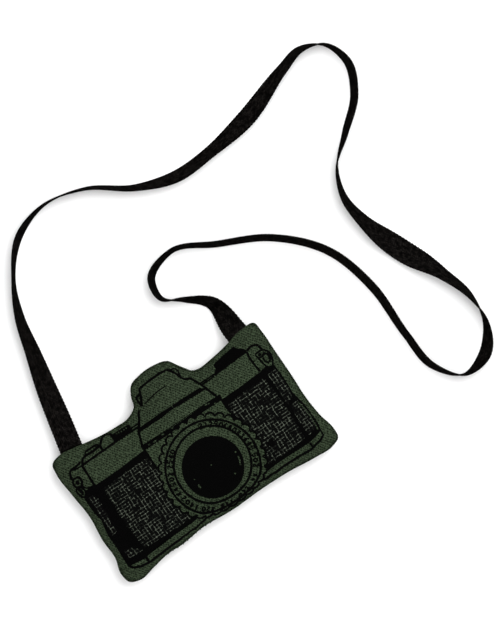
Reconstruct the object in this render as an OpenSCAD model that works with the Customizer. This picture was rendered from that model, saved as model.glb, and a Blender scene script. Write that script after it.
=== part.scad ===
// Stuffed canvas toy in the shape of a film camera, lying on its back with its
// printed face up. A webbing neck strap is sewn into the top seam at both ends
// and lies in loose curves on the same surface.

/* [Body] */
// Width of the toy over its sewn corners; everything else in plan scales with it
body_w = 160; // [140:1:180]
// Height of the side seam above the surface that the toy lies on
seam_z = 14; // [12:0.5:18]
// Rise of the printed front above the side seam
front_rise = 18; // [12:0.5:22]

/* [Cloth] */
// Thickness of the cotton canvas
canvas_t = 0.8; // [0.5:0.1:1.2]
// Width of the seam allowance that is folded to the inside
allowance = 7; // [6:0.5:8]
// Width of the back that stays curved between the seam and the flat rest area
back_run = 24; // [20:1:30]

/* [Strap] */
// Width of the woven webbing
webbing_w = 15; // [12:0.5:16]
// Thickness of the woven webbing
webbing_t = 1.2; // [0.8:0.1:1.6]
// Distance of each sewn strap end from the middle of the toy
strap_x = 62.5; // [61:0.5:64]
// Length of webbing held between the seam allowances
strap_hold = 5.5; // [4:0.5:6]

/* [Stitching] */
// Diameter of the sewing thread
thread_d = 0.4; // [0.3:0.1:0.5]
// Distance from one machine stitch to the next
stitch_pitch = 3.2; // [2.5:0.1:5]
// Distance from one hand stitch to the next across the turning gap
hand_pitch = 3.6; // [3:0.1:6]

/* [Hidden] */

// Plan size at which the outline and the strap route are written
plan_w = 160;
plan_scale = body_w / plan_w;
half_w = body_w / 2;
half_d = half_w * 0.665;

// Clearance between pieces that lie against each other
clear = 0.05;
// Curve samples from one outline point to the next, and from one route point to the next
outline_steps = 2;
route_steps = 2;
// Shape of the crowned faces: 2 is a plain parabola, more is fuller at the edge
fullness = 2.4;
// Inset at which the front reaches its full rise
front_run = half_d * 0.85;
// Insets of the rings from the seam to the middle: each face is level inside its last ring
front_insets = [2, 5, 9, 14, 20, 28, 36, front_run];
back_insets = [2, 5, 9, 14, 19, back_run, 32, 40];
// Inset at which the inside of a panel meets its own seam allowance
fold_inset = 2.2;
// Inset of the machine stitches
seam_inset = 2.9;
// Free space between the cloth and the stuffing
fill_gap = 0.25;
// Inset at which the stuffing begins, clear of the allowances
fill_inset = allowance + 1.5;
// Part of the bottom seam that was left open for turning, as a range in x
turning_gap = [-50, -14] * plan_scale;

// Outline of the stuffed toy, counter-clockwise from the right-hand side
OUTLINE = [
    [76.2, 0], [76, 20], [75.8, 34], [74.8, 40.5], [66, 41.5], [52, 38.5], [40, 36.6], [29.5, 36.1],
    [26.4, 37.2], [24, 40.2], [20.7, 45], [17, 50.5], [8, 53.1], [-2, 52.9], [-10.2, 50.4], [-13.8, 45.2],
    [-16.5, 38], [-22, 34.8], [-34, 34.2], [-50, 35.8], [-62, 38], [-71, 38.9], [-77.8, 36.5],
    [-79.2, 30], [-78.3, 15], [-76.6, -4], [-78, -20.5], [-77.5, -33], [-80, -44], [-78.3, -50.5],
    [-72, -53.2], [-60, -51.2], [-48, -49.2], [-39, -49.4], [-22, -47.6], [0, -48.7], [22, -47.9],
    [42, -48.3], [60, -50], [73.5, -50], [79, -47.5], [79.8, -41.5], [77.4, -30], [76, -16]
];

// Strap route from the left root to the right root: x, y, height of the lower
// edge above the surface, and roll of the webbing in degrees (0 and 180 flat, 90 on edge)
ROUTE = [
    [-62.5, 38.8, 13.4, 0], [-59, 57, 8, 16], [-55, 78, 4, 33], [-50, 100, 1, 53], [-44.5, 124, 0, 71],
    [-35, 145, 0, 86], [-16, 166.5, 0, 78], [5, 173.5, 0, 88], [33, 168, 0, 97], [60, 151, 0, 106],
    [84, 143, 0, 121], [112, 144, 0, 121], [141, 149, 0, 140], [177, 162, 0, 116], [192, 166, 0, 108],
    [206.5, 160.5, 0, 89], [213, 144, 0, 76], [205.5, 124.5, 0, 74], [187, 107, 0, 78], [171, 92, 0, 94],
    [164.5, 74, 0, 107], [166.5, 55, 0, 123], [176.5, 27, 0, 164], [189, 1.5, 0, 121],
    [196, -20, 0, 104], [195, -39, 0, 81], [183, -55.5, 0, 64], [167, -59, 0, 86], [152.5, -43, 0, 103],
    [149.5, -18, 0, 104], [148.5, 18, 0, 107], [138, 52, 0, 106], [113, 78.5, 0, 104],
    [82.5, 94, 0, 102], [56, 106, 0, 99], [36.5, 98, 0, 105], [35, 85, 0, 99], [46.5, 76.5, 0, 80],
    [58, 67.5, 0, 64], [62.5, 40.8, 13.4, 0]
];

// ---- curves ----

// Distance in plan from point i to the next one
function chord(points, i, n) =
    let (a = points[i % n], b = points[(i + 1) % n])
    norm([b.x - a.x, b.y - a.y]);

// Direction of the smooth curve at point i, per unit of length
function heading(points, i, n, closed) =
    let (before = closed ? (i + n - 1) % n : max(i - 1, 0),
         after = closed ? i : min(i, n - 2),
         d0 = chord(points, before, n),
         d1 = chord(points, after, n),
         v0 = (points[(before + 1) % n] - points[before]) / d0,
         v1 = (points[(after + 1) % n] - points[after]) / d1)
    (v0 * d1 + v1 * d0) / (d0 + d1);

// Point at t (0 to 1) on the cubic from point i to the next one
function on_curve(points, i, t, n, closed) =
    let (a = points[i % n], b = points[(i + 1) % n],
         d = chord(points, i, n),
         u = heading(points, i % n, n, closed) * d,
         v = heading(points, (i + 1) % n, n, closed) * d,
         t2 = t * t, t3 = t2 * t)
    a * (2 * t3 - 3 * t2 + 1) + u * (t3 - 2 * t2 + t) + b * (3 * t2 - 2 * t3) + v * (t3 - t2);

function closed_curve(points, steps) =
    let (n = len(points))
    [for (i = [0 : n - 1], k = [0 : steps - 1]) on_curve(points, i, k / steps, n, true)];

function open_curve(points, steps) =
    let (n = len(points))
    concat([for (i = [0 : n - 2], k = [0 : steps - 1]) on_curve(points, i, k / steps, n, false)],
           [points[n - 1]]);

// ---- outline and its inset rings ----

raw_outline = closed_curve(OUTLINE, outline_steps) * plan_scale;
outline_middle = [
    (max([for (p = raw_outline) p.x]) + min([for (p = raw_outline) p.x])) / 2,
    (max([for (p = raw_outline) p.y]) + min([for (p = raw_outline) p.y])) / 2
];
outline = [for (p = raw_outline) p - outline_middle];

// Outline point moved towards the middle by the inset, measured on the long sides
function inset_point(p, inset) = [p.x * (1 - inset / half_w), p.y * (1 - inset / half_d)];

// 1 beside a strap root, falling to 0 away from it
function near_strap(p) =
    let (away = abs(abs(p.x) - strap_x) - webbing_w / 2 - 1)
    p.y < 0 ? 0 : max(0, min(1, 1 - away / 4));

// Half the opening between the two panels, which is wider where the webbing passes
function seam_half_gap(p, inset) =
    clear + near_strap(p) * webbing_t / 2 * max(0, min(1, (20 - inset) / 10));

// One ring of the shell: side is 1 above the seam and -1 below it
function ring(inset, height, side) =
    [for (p = outline)
        let (q = inset_point(p, inset))
        [q.x, q.y, seam_z + side * (seam_half_gap(p, inset) + height)]];

// ---- crowned faces ----

function crown(inset, rise, run) = rise * (1 - pow(1 - min(inset, run) / run, fullness));

function crown_angle(inset, rise, run) =
    atan(rise * fullness / run * pow(1 - min(inset, run) / run, fullness - 1));

// Ring that lies a distance under the crowned face
function under_ring(inset, rise, run, depth, side) =
    let (tilt = crown_angle(inset, rise, run))
    ring(inset + depth * sin(tilt), crown(inset, rise, run) - depth * cos(tilt), side);

function over_ring(inset, rise, run, side) = ring(inset, crown(inset, rise, run), side);

// Rings of one panel, from its inside crown round the seam allowance to its outside crown
function panel_rings(rise, run, insets, side) = concat(
    [for (i = [len(insets) - 1 : -1 : 1]) under_ring(insets[i], rise, run, canvas_t, side)],
    [ring(fold_inset, canvas_t, side), ring(allowance, canvas_t, side)],
    [ring(allowance, 0, side), ring(0, 0, side)],
    [for (inset = insets) over_ring(inset, rise, run, side)]
);

// Closed solid through a stack of rings with equal numbers of points
module loft(rings) {
    n = len(rings[0]);
    last = (len(rings) - 1) * n;
    sides = [for (k = [0 : len(rings) - 2], i = [0 : n - 1])
        let (j = (i + 1) % n, low = k * n, high = low + n)
        each [[low + i, high + i, high + j], [low + i, high + j, low + j]]];
    start_cap = [for (i = [0 : n - 1]) i];
    end_cap = [for (i = [n - 1 : -1 : 0]) last + i];
    polyhedron(points = [for (r = rings) each r], faces = concat([start_cap, end_cap], sides));
}

function reversed(list) = [for (i = [len(list) - 1 : -1 : 0]) list[i]];

// Printed upper face with its turned-in allowance
module front_panel() {
    color([0.20, 0.24, 0.18])
        loft(panel_rings(front_rise, front_run, front_insets, 1));
}

// Plain lower face, flat where it lies on the surface
module back_panel() {
    color([0.19, 0.23, 0.17])
        loft(reversed(panel_rings(seam_z - clear, back_run, back_insets, -1)));
}

// Fibre fill, one closed body a little smaller than the space inside the cloth
module stuffing() {
    depth = canvas_t + fill_gap;
    back_rise = seam_z - clear;
    back_rings = [for (inset = [back_run, 19, 14, fill_inset + 1])
        under_ring(inset, back_rise, back_run, depth, -1)];
    front_rings = [for (inset = [fill_inset + 1, 14, 20, 28, front_run])
        under_ring(inset, front_rise, front_run, depth, 1)];
    color([0.93, 0.93, 0.90])
        loft(concat(back_rings, front_rings));
}

// ---- strap ----

// Section of the webbing, with chamfered corners
chamfer = webbing_t / 4;
section = [
    [webbing_w / 2, webbing_t / 2 - chamfer], [webbing_w / 2 - chamfer, webbing_t / 2],
    [chamfer - webbing_w / 2, webbing_t / 2], [-webbing_w / 2, webbing_t / 2 - chamfer],
    [-webbing_w / 2, chamfer - webbing_t / 2], [chamfer - webbing_w / 2, -webbing_t / 2],
    [webbing_w / 2 - chamfer, -webbing_t / 2], [webbing_w / 2, chamfer - webbing_t / 2]
];

route = [for (p = open_curve(ROUTE, route_steps)) [p.x * plan_scale, p.y * plan_scale, p[2], p[3]]];

// Direction of the route in plan at sample i
function route_heading(i) =
    let (a = route[max(i - 1, 0)], b = route[min(i + 1, len(route) - 1)], v = [b.x - a.x, b.y - a.y])
    v / norm(v);

// Height of the webbing's middle, with its lower edge on the surface or above it
function middle_z(p) =
    max(0, p[2]) + webbing_w / 2 * abs(sin(p[3])) + webbing_t / 2 * abs(cos(p[3]));

// The section set across the route at sample i and rolled about it
function strap_ring(i) =
    let (p = route[i], along = route_heading(i), left = [-along.y, along.x],
         c = cos(p[3]), s = sin(p[3]))
    [for (q = section)
        let (across = q.x * c - q.y * s, up = q.x * s + q.y * c)
        [p.x + left.x * across, p.y + left.y * across, middle_z(p) + up]];

module strap() {
    color([0.05, 0.05, 0.05])
        loft([for (i = [0 : len(route) - 1]) strap_ring(i)]);
}

// Sewn-in end of the webbing, between the two allowances
module strap_end(i, inward) {
    p = route[i];
    along = route_heading(i) * inward;
    color([0.05, 0.05, 0.05])
        translate([p.x, p.y, middle_z(p)])
            rotate([0, 0, atan2(along.y, along.x)])
                rotate([90, 0, 90])
                    linear_extrude(height = strap_hold)
                        polygon(section);
}

module strap_end_left() {
    strap_end(0, -1);
}

module strap_end_right() {
    strap_end(len(route) - 1, 1);
}

// ---- stitches ----

// One straight stitch of thread from a to b
module thread_bar(a, b) {
    v = b - a;
    length = norm(v);
    translate(a)
        rotate([0, acos(v.z / length), atan2(v.y, v.x)])
            cylinder(h = length, d = thread_d, $fn = 16);
}

// Running length at each point of a closed line
function running_length(line) =
    [for (i = 0, total = 0; i <= len(line);
          total = total + chord(line, i, len(line)), i = i + 1) total];

// Point at a running length along a closed line
function at_length(line, lengths, s) =
    let (n = len(line))
    [lookup(s, [for (i = [0 : n]) [lengths[i], line[i % n].x]]),
     lookup(s, [for (i = [0 : n]) [lengths[i], line[i % n].y]])];

function in_turning_gap(p) = p.y < 0 && p.x > turning_gap[0] && p.x < turning_gap[1];

// Machine stitches round the seam on one side of it, with the turning gap left open
module machine_stitches(side) {
    seam = [for (p = outline) inset_point(p, seam_inset)];
    lengths = running_length(seam);
    count = floor(lengths[len(seam)] / stitch_pitch);
    pitch = lengths[len(seam)] / count;
    for (i = [0 : count - 1]) {
        a = at_length(seam, lengths, i * pitch);
        b = at_length(seam, lengths, (i + 0.78) * pitch);
        height = max(seam_half_gap(a, 0), seam_half_gap(b, 0)) + canvas_t + thread_d / 2 + clear;
        z = seam_z + side * height;
        if (!in_turning_gap(a))
            thread_bar([a.x, a.y, z], [b.x, b.y, z]);
    }
}

module seam_needle_thread() {
    color([0.12, 0.14, 0.10])
        machine_stitches(1);
}

module seam_bobbin_thread() {
    color([0.12, 0.14, 0.10])
        machine_stitches(-1);
}

// Two rows of stitches over each face of a sewn-in strap end
module strap_tack(i, inward) {
    p = route[i];
    along = route_heading(i) * inward;
    across = [-along.y, along.x];
    count = 5;
    pitch = webbing_w / (count + 0.5);
    height = clear + webbing_t / 2 + canvas_t + thread_d / 2 + clear;
    color([0.06, 0.06, 0.06])
        for (row = [3.5, 4.6], k = [0 : count - 1], side = [-1, 1]) {
            start = (k + 0.4) * pitch - webbing_w / 2;
            a = [p.x, p.y] + along * row + across * start;
            b = a + across * pitch * 0.75;
            z = middle_z(p) + side * height;
            thread_bar([a.x, a.y, z], [b.x, b.y, z]);
        }
}

module strap_tack_left() {
    strap_tack(0, -1);
}

module strap_tack_right() {
    strap_tack(len(route) - 1, 1);
}

// Hand stitches that close the turning gap, over the outside of the seam
module closing_stitches() {
    outside = [for (p = outline) inset_point(p, -thread_d / 2 - clear)];
    lengths = running_length(outside);
    count = floor(lengths[len(outside)] / hand_pitch);
    color([0.16, 0.19, 0.14])
        for (i = [0 : count - 1]) {
            a = at_length(outside, lengths, i * hand_pitch);
            b = at_length(outside, lengths, i * hand_pitch + 0.8);
            if (in_turning_gap(a))
                thread_bar([a.x, a.y, seam_z - 0.7], [b.x, b.y, seam_z + 0.7]);
        }
}

front_panel();
back_panel();
stuffing();
strap();
strap_end_left();
strap_end_right();
seam_needle_thread();
seam_bobbin_thread();
strap_tack_left();
strap_tack_right();
closing_stitches();
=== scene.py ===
"""Stuffed canvas toy in the outline of a film camera, with a webbing neck strap.

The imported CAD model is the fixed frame. The canvas is two panels of cloth, inflated by a cloth simulation
and then meshed again with the print cut into it, so the ink follows every crease of the cloth.
"""

import math
from collections import namedtuple

import bpy
import numpy as np
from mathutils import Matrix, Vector, geometry
from mathutils.bvhtree import BVHTree
from mathutils.kdtree import KDTree


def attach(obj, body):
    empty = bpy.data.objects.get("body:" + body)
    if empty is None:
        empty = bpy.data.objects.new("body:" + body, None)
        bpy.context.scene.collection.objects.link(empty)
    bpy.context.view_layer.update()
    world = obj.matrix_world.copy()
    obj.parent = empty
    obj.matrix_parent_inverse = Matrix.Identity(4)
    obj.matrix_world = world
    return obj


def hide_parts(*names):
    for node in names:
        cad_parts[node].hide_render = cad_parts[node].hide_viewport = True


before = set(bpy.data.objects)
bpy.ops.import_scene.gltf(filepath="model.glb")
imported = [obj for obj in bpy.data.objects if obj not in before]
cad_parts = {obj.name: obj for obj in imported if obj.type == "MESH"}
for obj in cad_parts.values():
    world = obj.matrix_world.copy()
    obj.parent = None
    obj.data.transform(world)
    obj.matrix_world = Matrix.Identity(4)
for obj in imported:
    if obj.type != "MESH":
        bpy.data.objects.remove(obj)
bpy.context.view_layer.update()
MM = 0.001
BODY = "root"

# ---- sizes, in millimetres ----

# As in the CAD model, like the outline and the route below
SEAM_Z = 14.0
FRONT_RISE = 18.0
WEBBING_W = 15.0
WEBBING_T = 1.2
STRAP_X = 62.5
TURNING_GAP = (-50.0, -14.0)
# The visible cloth is a little thinner than in the CAD model, and less of it is turned in
CANVAS_T = 0.7
ALLOWANCE = 5.5
# Half of the outline's width and height, roughly, which turn an inset into a scale
HALF_SIZE = np.array([80.0, 53.0])

OUTLINE = [
    (76.2, 0), (76, 20), (75.8, 34), (74.8, 40.5), (66, 41.5), (52, 38.5), (40, 36.6), (29.5, 36.1),
    (26.4, 37.2), (24, 40.2), (20.7, 45), (17, 50.5), (8, 53.1), (-2, 52.9), (-10.2, 50.4), (-13.8, 45.2),
    (-16.5, 38), (-22, 34.8), (-34, 34.2), (-50, 35.8), (-62, 38), (-71, 38.9), (-77.8, 36.5),
    (-79.2, 30), (-78.3, 15), (-76.6, -4), (-78, -20.5), (-77.5, -33), (-80, -44), (-78.3, -50.5),
    (-72, -53.2), (-60, -51.2), (-48, -49.2), (-39, -49.4), (-22, -47.6), (0, -48.7), (22, -47.9),
    (42, -48.3), (60, -50), (73.5, -50), (79, -47.5), (79.8, -41.5), (77.4, -30), (76, -16),
]

# Strap route from the left root to the right root: x, y, height of the lower edge above the surface,
# and roll of the webbing in degrees (0 and 180 lie flat, 90 stands on edge)
ROUTE = [
    (-62.5, 38.8, 13.4, 0), (-59, 57, 8, 16), (-55, 78, 4, 33), (-50, 100, 1, 53), (-44.5, 124, 0, 71),
    (-35, 145, 0, 86), (-16, 166.5, 0, 78), (5, 173.5, 0, 88), (33, 168, 0, 97), (60, 151, 0, 106),
    (84, 143, 0, 121), (112, 144, 0, 121), (141, 149, 0, 140), (177, 162, 0, 116), (192, 166, 0, 108),
    (206.5, 160.5, 0, 89), (213, 144, 0, 76), (205.5, 124.5, 0, 74), (187, 107, 0, 78), (171, 92, 0, 94),
    (164.5, 74, 0, 107), (166.5, 55, 0, 123), (176.5, 27, 0, 164), (189, 1.5, 0, 121),
    (196, -20, 0, 104), (195, -39, 0, 81), (183, -55.5, 0, 64), (167, -59, 0, 86), (152.5, -43, 0, 103),
    (149.5, -18, 0, 104), (148.5, 18, 0, 107), (138, 52, 0, 106), (113, 78.5, 0, 104),
    (82.5, 94, 0, 102), (56, 106, 0, 99), (36.5, 98, 0, 105), (35, 85, 0, 99), (46.5, 76.5, 0, 80),
    (58, 67.5, 0, 64), (62.5, 40.8, 13.4, 0),
]


# ---- curves ----

# Straight pieces that stand for each span between two points of the outline and of the strap route
OUTLINE_STEPS = 16
ROUTE_STEPS = 24


def smooth_curve(points, steps, closed):
    """Cubic curve through the points, its headings weighted by the chords in plan as in the CAD model."""
    points = np.array(points, float)
    count = len(points)
    nxt = np.roll(points, -1, axis=0) if closed else np.vstack([points[1:], points[-1:]])
    step = nxt - points
    chord = np.hypot(step[:, 0], step[:, 1])
    curve = []

    def heading(i):
        """Heading of the curve at a point, per millimetre of chord."""
        before = (i - 1) % count if closed else max(i - 1, 0)
        after = i if closed else min(i, count - 2)
        d0, d1 = chord[before], chord[after]
        return (step[before] / d0 * d1 + step[after] / d1 * d0) / (d0 + d1)

    for i in range(count if closed else count - 1):
        a, b = points[i], nxt[i]
        u = heading(i) * chord[i]
        v = heading((i + 1) % count) * chord[i]
        for t in np.arange(steps) / steps:
            blend = 3 * t**2 - 2 * t**3
            curve.append(a * (1 - blend) + b * blend + u * (t**3 - 2 * t**2 + t) + v * (t**3 - t**2))
    if not closed:
        curve.append(points[-1])
    return np.array(curve)


def resample(line, pitch, closed):
    """Points at an even pitch along a line, as it runs in plan; further columns are carried along."""
    line = np.array(line, float)
    if closed:
        line = np.vstack([line, line[:1]])
    run = np.concatenate([[0], np.cumsum(np.linalg.norm(np.diff(line[:, :2], axis=0), axis=1))])
    count = max(2, round(run[-1] / pitch))
    stops = np.linspace(0, run[-1], count + 1)
    if closed:
        stops = stops[:-1]
    return np.column_stack([np.interp(stops, run, column) for column in line.T])


def outline_curve(pitch):
    """The sewn outline in plan, centred as in the CAD model and resampled at an even pitch."""
    coarse = smooth_curve(OUTLINE, 2, True)
    middle = (coarse.max(0) + coarse.min(0)) / 2
    return resample(smooth_curve(OUTLINE, OUTLINE_STEPS, True) - middle, pitch, True)


# ---- objects and meshes ----


def add_object(name, data):
    """An object in the scene that shows a mesh, light or camera."""
    made = bpy.data.objects.new(name, data)
    bpy.context.scene.collection.objects.link(made)
    return made


def mesh_object(name, vertices, faces, material, normals=None, uv=None):
    """A smooth-shaded mesh in millimetres with one material, its normals and UV values given per vertex."""
    mesh = bpy.data.meshes.new(name)
    mesh.from_pydata((np.array(vertices) * MM).tolist(), [], [list(map(int, f)) for f in faces])
    mesh.materials.append(material)
    mesh.polygons.foreach_set("use_smooth", [True] * len(mesh.polygons))
    if uv is not None:
        layer = mesh.uv_layers.new(name="pattern")
        corner = np.zeros(len(mesh.loops), int)
        mesh.loops.foreach_get("vertex_index", corner)
        layer.data.foreach_set("uv", np.array(uv, float)[corner].ravel())
    if normals is not None:
        mesh.normals_split_custom_set_from_vertices(np.array(normals).tolist())
    mesh.update()
    return add_object(name, mesh)


def nearest_index(points, line):
    """For each point of the line, the index of the point that lies on it."""
    return np.array([np.argmin(np.abs(points - p).sum(1)) for p in line])


def plan_tree(points):
    """Search tree over points in plan."""
    tree = KDTree(len(points))
    for k, (x, y) in enumerate(points):
        tree.insert((x, y, 0), k)
    tree.balance()
    return tree


def unit(vectors):
    """The vectors at a length of 1."""
    return vectors / np.linalg.norm(vectors, axis=1, keepdims=True)


def left_of(vectors):
    """Plan vectors turned a quarter to the left."""
    return np.column_stack([-vectors[:, 1], vectors[:, 0]])


def cross2(a, b):
    """Signed area of the parallelogram on two plan vectors."""
    return a[:, 0] * b[:, 1] - a[:, 1] * b[:, 0]


def vertex_normals(vertices, faces):
    """Unit normal at each vertex, from its triangles weighted by area."""
    tri = vertices[faces]
    face_normal = np.cross(tri[:, 1] - tri[:, 0], tri[:, 2] - tri[:, 0])
    total = np.zeros_like(vertices)
    for k in range(3):
        np.add.at(total, faces[:, k], face_normal)
    return total / np.maximum(np.linalg.norm(total, axis=1, keepdims=True), 1e-12)


# ---- camera ----

# Long side of the plan area in view, its middle, and how far the toy is turned in it
VIEW_LONG_SIDE = 387.5
VIEW_MIDDLE = (76.3, 47.1)
VIEW_TURN = -33.6
FOCAL_LENGTH = 250
SENSOR_WIDTH = 36
FOCUS_Z = 12.0
VIEW_POINT = (*VIEW_MIDDLE, VIEW_LONG_SIDE * FOCAL_LENGTH / SENSOR_WIDTH + FOCUS_Z)


def make_camera():
    """The camera straight above the middle of the view, looking down."""
    data = bpy.data.cameras.new("camera")
    data.lens = FOCAL_LENGTH
    data.sensor_width = SENSOR_WIDTH
    data.clip_end = 20
    camera = add_object("camera", data)
    camera.location = Vector(VIEW_POINT) * MM
    camera.rotation_euler = (0, 0, math.radians(VIEW_TURN))
    bpy.context.scene.camera = camera


# ---- flat cloth ----

# Least distance of a lattice point from the line, as a share of the pitch
LATTICE_MARGIN = 0.6
# Points closer than this are one, and a corner that turns less than this is straight
TOLERANCE = 1e-4
# A sound shape covers less than this many times its own area, and a little more
MOST_COVER = 2
COVER_SLACK = 0.5


def distance_to_line(points, line):
    """Distance of each point to a closed line, in plan."""
    a, b = line, np.roll(line, -1, axis=0)
    best = np.full(len(points), np.inf)
    for p, q in zip(a, b):
        along = q - p
        t = np.clip(((points - p) @ along) / (along @ along), 0, 1)
        best = np.minimum(best, np.linalg.norm(points - p - t[:, None] * along, axis=1))
    return best


def inside(points, line):
    """Which points lie inside a closed line."""
    result = np.zeros(len(points), bool)
    for (x0, y0), (x1, y1) in zip(line, np.roll(line, -1, axis=0)):
        crosses = (y0 > points[:, 1]) != (y1 > points[:, 1])
        if y0 != y1:
            at = x0 + (points[:, 1] - y0) * (x1 - x0) / (y1 - y0)
            result ^= crosses & (points[:, 0] < at)
    return result


def lattice(line, pitch):
    """Points of a triangular lattice inside a closed line, none of them close to it."""
    low, high = line.min(0), line.max(0)
    rows = np.arange(low[1], high[1], pitch * math.sqrt(3) / 2)
    points = np.array([
        (x, y) for k, y in enumerate(rows) for x in np.arange(low[0] + pitch / 2 * (k % 2), high[0], pitch)
    ])
    points = points[inside(points, line)]
    return points[distance_to_line(points, line) > LATTICE_MARGIN * pitch]


def signed_area(shape):
    """Twice the area inside the points, positive where they run counter-clockwise."""
    shape = np.array(shape, float)
    return cross2(shape, np.roll(shape, -1, axis=0)).sum()


def is_convex(corners):
    """Whether the corners make a convex shape that runs counter-clockwise."""
    step = np.roll(corners, -1, axis=0) - corners
    return bool((cross2(step, np.roll(step, -1, axis=0)) > TOLERANCE).all())


def triangulate(line, extra, shapes=()):
    """Triangles inside a closed line that use its points, the extra points and the outlines of the shapes.

    Returns the points, the triangles, and for each triangle the shapes that cover it, by index.
    A shape whose outline crosses itself would cover the whole sheet, so it is left out.
    """
    points = [Vector(p) for p in line] + [Vector(p) for p in extra]
    faces = [list(range(len(line)))]
    for shape in shapes:
        faces.append(list(range(len(points), len(points) + len(shape))))
        points += [Vector(p) for p in (shape if signed_area(shape) > 0 else shape[::-1])]
    made, _, triangles, _, _, covers = geometry.delaunay_2d_cdt(points, [], faces, 1, TOLERANCE)
    keep = [i for i, cover in enumerate(covers) if 0 in cover and len(triangles[i]) == 3]
    corners = np.array([triangles[i] for i in keep])
    flat = np.array([tuple(p) for p in made])
    tri = flat[corners]
    area = cross2(tri[:, 1] - tri[:, 0], tri[:, 2] - tri[:, 0])
    corners[area < 0] = corners[area < 0][:, ::-1]
    covered = np.zeros(len(shapes) + 1)
    for i, triangle_area in zip(keep, np.abs(area)):
        covered[covers[i]] += triangle_area
    sound = [k > 0 and covered[k] < MOST_COVER * abs(signed_area(shape)) + COVER_SLACK
             for k, shape in enumerate([line, *shapes])]
    return flat, corners, [[k - 1 for k in covers[i] if sound[k]] for i in keep]


# ---- stuffed shape ----

SIM_PITCH = 2.0
# Cloth that the pattern has beyond the sewn outline, as a share of each length
EXCESS = 0.085
# The cloth solver works on a model this much larger, where its defaults behave
SIM_SCALE = 10
SIM_FRAMES = 26
PRESSURE = 9.0
# Shape before blowing up: how far in the crown rises, and how full it is
CROWN_RUN = 45.0
CROWN_FULLNESS = 2.4
# Points nearer than this to the seam's line lie on it
ON_SEAM = 0.01


def inflate(points, rest, faces, seam):
    """Blows up a closed bag, pinned along the seam, and returns its points, in millimetres."""
    unit = MM * SIM_SCALE
    mesh = bpy.data.meshes.new("bag")
    mesh.from_pydata((points * unit).tolist(), [], faces.tolist())
    bag = add_object("bag", mesh)
    bag.shape_key_add(name="Basis")
    cut = bag.shape_key_add(name="cut")
    cut.data.foreach_set("co", (rest * unit).ravel())
    bag.vertex_groups.new(name="seam").add(seam.tolist(), 1.0, "REPLACE")
    cloth = bag.modifiers.new("cloth", "CLOTH")
    settings = cloth.settings
    settings.rest_shape_key = cut
    settings.vertex_group_mass = "seam"
    settings.quality = 8
    settings.mass = 0.2
    settings.air_damping = 3.0
    settings.tension_stiffness = 60
    settings.compression_stiffness = 20
    settings.shear_stiffness = 12
    settings.bending_stiffness = 1.2
    settings.use_pressure = True
    settings.uniform_pressure_force = PRESSURE
    settings.effector_weights.gravity = 0
    cloth.point_cache.frame_start = 1
    cloth.point_cache.frame_end = SIM_FRAMES
    for number in range(1, SIM_FRAMES + 1):
        bpy.context.scene.frame_set(number)
    shaped = bag.evaluated_get(bpy.context.evaluated_depsgraph_get()).to_mesh()
    result = np.zeros(len(points) * 3)
    shaped.vertices.foreach_get("co", result)
    bpy.context.scene.frame_set(1)
    bpy.data.objects.remove(bag)
    return result.reshape(-1, 3) / unit


def smoothed(points, faces, fixed):
    """Points moved halfway towards the middle of their neighbours, except the fixed ones."""
    pairs = np.vstack([faces[:, [0, 1]], faces[:, [1, 2]], faces[:, [2, 0]]])
    pairs = np.vstack([pairs, pairs[:, ::-1]])
    total = np.zeros_like(points)
    count = np.zeros(len(points))
    np.add.at(total, pairs[:, 0], points[pairs[:, 1]])
    np.add.at(count, pairs[:, 0], 1)
    middle = total / count[:, None]
    return np.where(fixed[:, None], points, points * 0.5 + middle * 0.5)


def stuffed_panels():
    """The front and the back of the stuffed toy as surfaces over the same flat panel."""
    line = outline_curve(SIM_PITCH)
    flat, faces, _ = triangulate(line, lattice(line, SIM_PITCH))
    depth = distance_to_line(flat, line)
    on_seam = depth < ON_SEAM
    inner = np.flatnonzero(~on_seam)
    back_of = np.arange(len(flat))
    back_of[inner] = len(flat) + np.arange(len(inner))
    crown = 1 - (1 - np.minimum(depth, CROWN_RUN) / CROWN_RUN) ** CROWN_FULLNESS
    front = np.column_stack([flat, SEAM_Z + FRONT_RISE * crown])
    back = np.column_stack([flat, SEAM_Z - FRONT_RISE * crown])
    points = np.vstack([front, back[inner]])
    rest = points * (1 + EXCESS)
    rest[:, 2] = SEAM_Z
    bag = np.vstack([faces, back_of[faces][:, ::-1]])
    points = inflate(points, rest, bag, np.flatnonzero(on_seam))
    front, back = points[: len(flat)], points[back_of]
    front = smoothed(front, faces, on_seam)
    back = smoothed(back, faces, on_seam)
    front[:, 2] = SEAM_Z + (front[:, 2] - SEAM_Z) * FRONT_RISE / (front[:, 2].max() - SEAM_Z)
    back[:, 2] = SEAM_Z - (SEAM_Z - back[:, 2]) * FRONT_RISE / (SEAM_Z - back[:, 2].min())
    back[:, 2] = np.maximum(back[:, 2], 0)
    return Surface(flat, faces, front), Surface(flat, faces[:, ::-1], back)


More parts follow.
